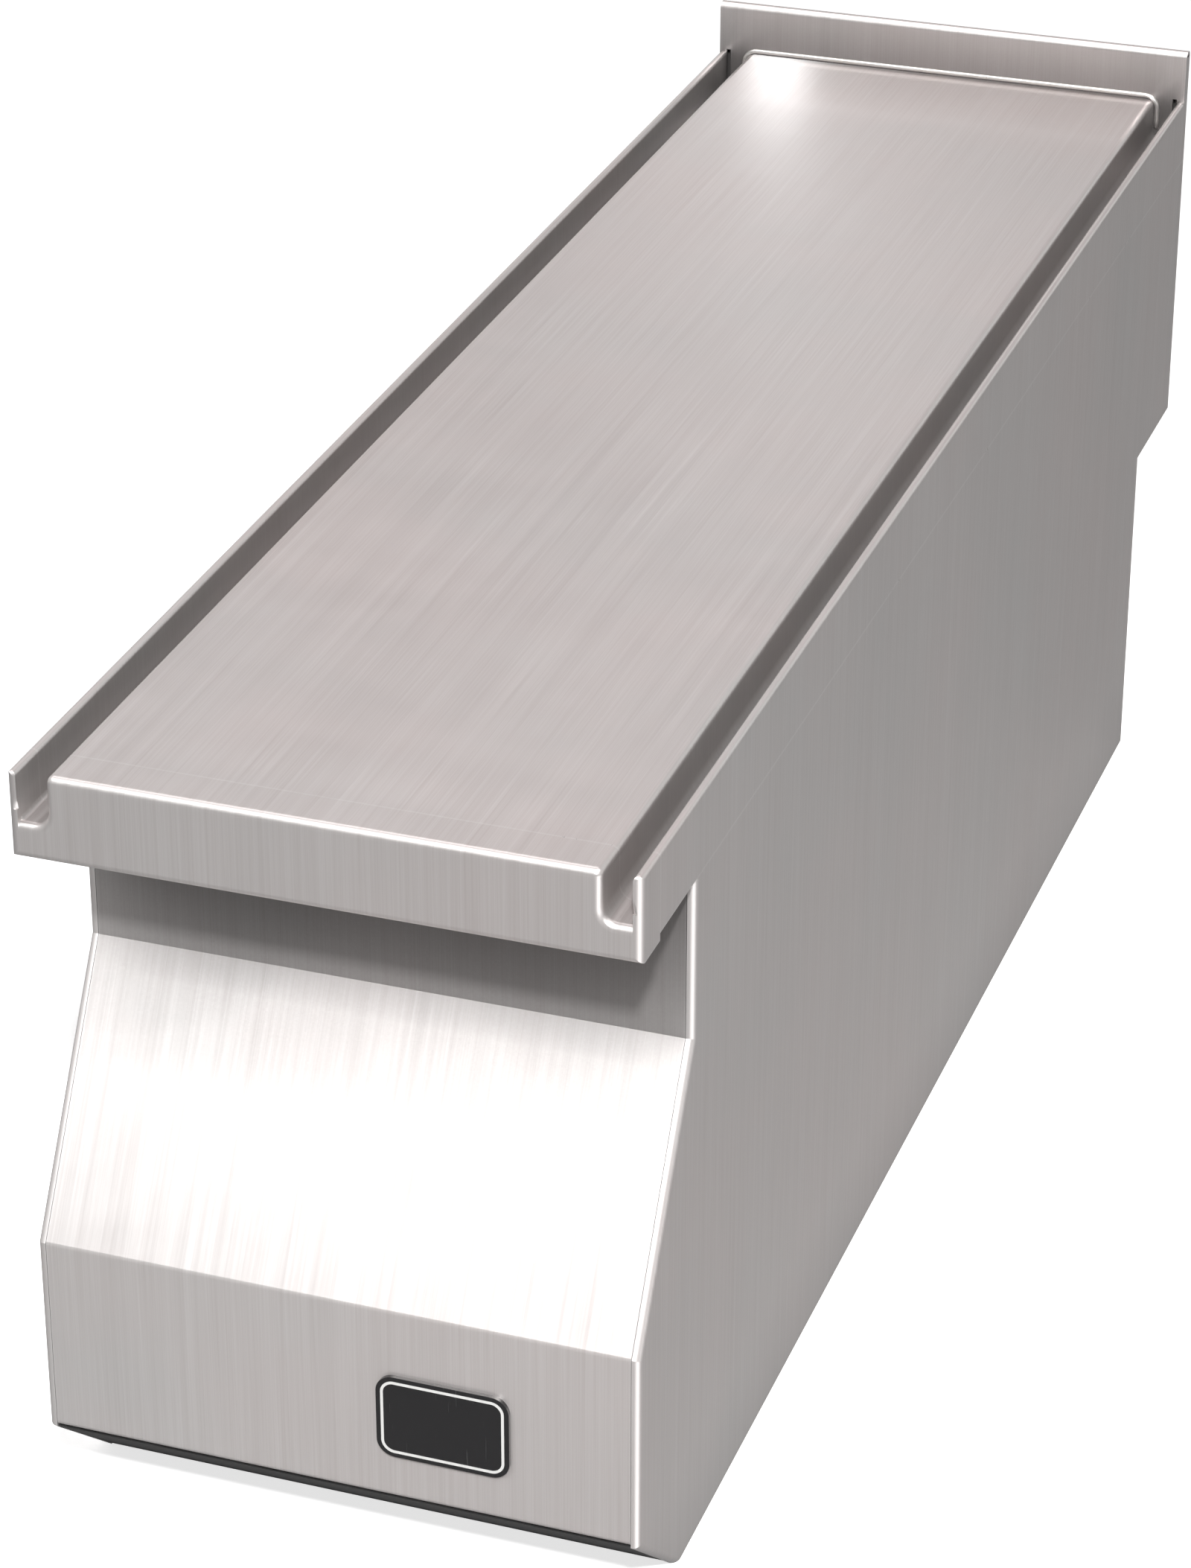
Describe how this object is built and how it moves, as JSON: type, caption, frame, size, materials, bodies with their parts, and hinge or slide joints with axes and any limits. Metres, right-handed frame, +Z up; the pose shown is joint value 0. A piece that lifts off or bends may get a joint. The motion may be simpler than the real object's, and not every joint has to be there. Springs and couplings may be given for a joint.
{
  "type": "worktop module",
  "caption": "Narrow stainless-steel worktop module for a kitchen range: raised plate between two drain gutters, rear upstand, sloping front fascia, service recess and screw-down levelling feet.",
  "frame": {"origin": "centre of the fixing-hole pattern in the base, on the plane the unit stands on, in the middle of the width and of the depth", "axes": "+X across the unit to the right seen from the front, +Y from the front fascia to the back, +Z up"},
  "size_m": [0.2, 0.7016, 0.291],
  "materials": {
    "worktop_steel": "fine brushed grain running from front to back, ground welds",
    "body_steel": "fine vertical brushed grain",
    "frame_steel": "mill finish stainless sheet",
    "galvanised_steel": "galvanised",
    "fastener_steel": "zinc-plated, slightly dull",
    "damping_mat": "matt bitumen mat",
    "black_strip": "matt black extruded strip",
    "foot_rubber": "matt moulded",
    "badge_enamel": "gloss black enamel",
    "badge_line": "satin light enamel"
  },
  "bodies": {
    "body": {"worktop": "worktop_steel", "front_apron": "worktop_steel", "upstand": "worktop_steel", "side_panel_left": "body_steel", "side_panel_right": "body_steel", "front_fascia": "body_steel", "fascia_strip_left": "frame_steel", "fascia_strip_right": "frame_steel", "rear_angle_left": "frame_steel", "rear_angle_right": "frame_steel", "kick_strip": "black_strip", "rear_cover": "frame_steel", "rear_cover_screws": "fastener_steel", "recess_panel": "frame_steel", "base_tray": "frame_steel", "mount_rail_front": "frame_steel", "mount_rail_rear": "frame_steel", "front_bulkhead": "frame_steel", "rear_bulkhead": "frame_steel", "stiffener_left": "galvanised_steel", "stiffener_right": "galvanised_steel", "damping_pad": "damping_mat", "stiffener_studs": "fastener_steel", "stiffener_washers": "fastener_steel", "stiffener_nuts": "fastener_steel", "foot_bushes": "fastener_steel", "badge_plate": "badge_enamel", "badge_border": "badge_line", "badge_clips": "fastener_steel", "bonding_stud": "fastener_steel", "bonding_nut": "fastener_steel"},
    "pad_front_left": {"foot_pad_front_left": "foot_rubber"},
    "stud_front_left": {"foot_stud_front_left": "fastener_steel"},
    "pad_front_right": {"foot_pad_front_right": "foot_rubber"},
    "stud_front_right": {"foot_stud_front_right": "fastener_steel"},
    "pad_rear_left": {"foot_pad_rear_left": "foot_rubber"},
    "stud_rear_left": {"foot_stud_rear_left": "fastener_steel"},
    "pad_rear_right": {"foot_pad_rear_right": "foot_rubber"},
    "stud_rear_right": {"foot_stud_rear_right": "fastener_steel"}
  },
  "joints": [
    {"name": "foot_travel_front_left", "type": "slide", "parent": "body", "child": "pad_front_left", "axis": [0, 0, -1], "range_m": [0, 0.015]},
    {"name": "stud_turn_front_left", "type": "hinge", "parent": "pad_front_left", "child": "stud_front_left", "pos_m": [-0.072, -0.265, 0.02], "axis": [0, 0, -1], "range_deg": [-1, 4321]},
    {"name": "foot_travel_front_right", "type": "slide", "parent": "body", "child": "pad_front_right", "axis": [0, 0, -1], "range_m": [0, 0.015]},
    {"name": "stud_turn_front_right", "type": "hinge", "parent": "pad_front_right", "child": "stud_front_right", "pos_m": [0.072, -0.265, 0.02], "axis": [0, 0, -1], "range_deg": [-1, 4321]},
    {"name": "foot_travel_rear_left", "type": "slide", "parent": "body", "child": "pad_rear_left", "axis": [0, 0, -1], "range_m": [0, 0.015]},
    {"name": "stud_turn_rear_left", "type": "hinge", "parent": "pad_rear_left", "child": "stud_rear_left", "pos_m": [-0.072, 0.265, 0.02], "axis": [0, 0, -1], "range_deg": [-1, 4321]},
    {"name": "foot_travel_rear_right", "type": "slide", "parent": "body", "child": "pad_rear_right", "axis": [0, 0, -1], "range_m": [0, 0.015]},
    {"name": "stud_turn_rear_right", "type": "hinge", "parent": "pad_rear_right", "child": "stud_rear_right", "pos_m": [0.072, 0.265, 0.02], "axis": [0, 0, -1], "range_deg": [-1, 4321]}
  ],
  "couplings": [
    {"joint": "stud_turn_front_left", "follows": "foot_travel_front_left", "rad_per_m": 5026.5},
    {"joint": "stud_turn_front_right", "follows": "foot_travel_front_right", "rad_per_m": 5026.5},
    {"joint": "stud_turn_rear_left", "follows": "foot_travel_rear_left", "rad_per_m": 5026.5},
    {"joint": "stud_turn_rear_right", "follows": "foot_travel_rear_right", "rad_per_m": 5026.5}
  ]
}
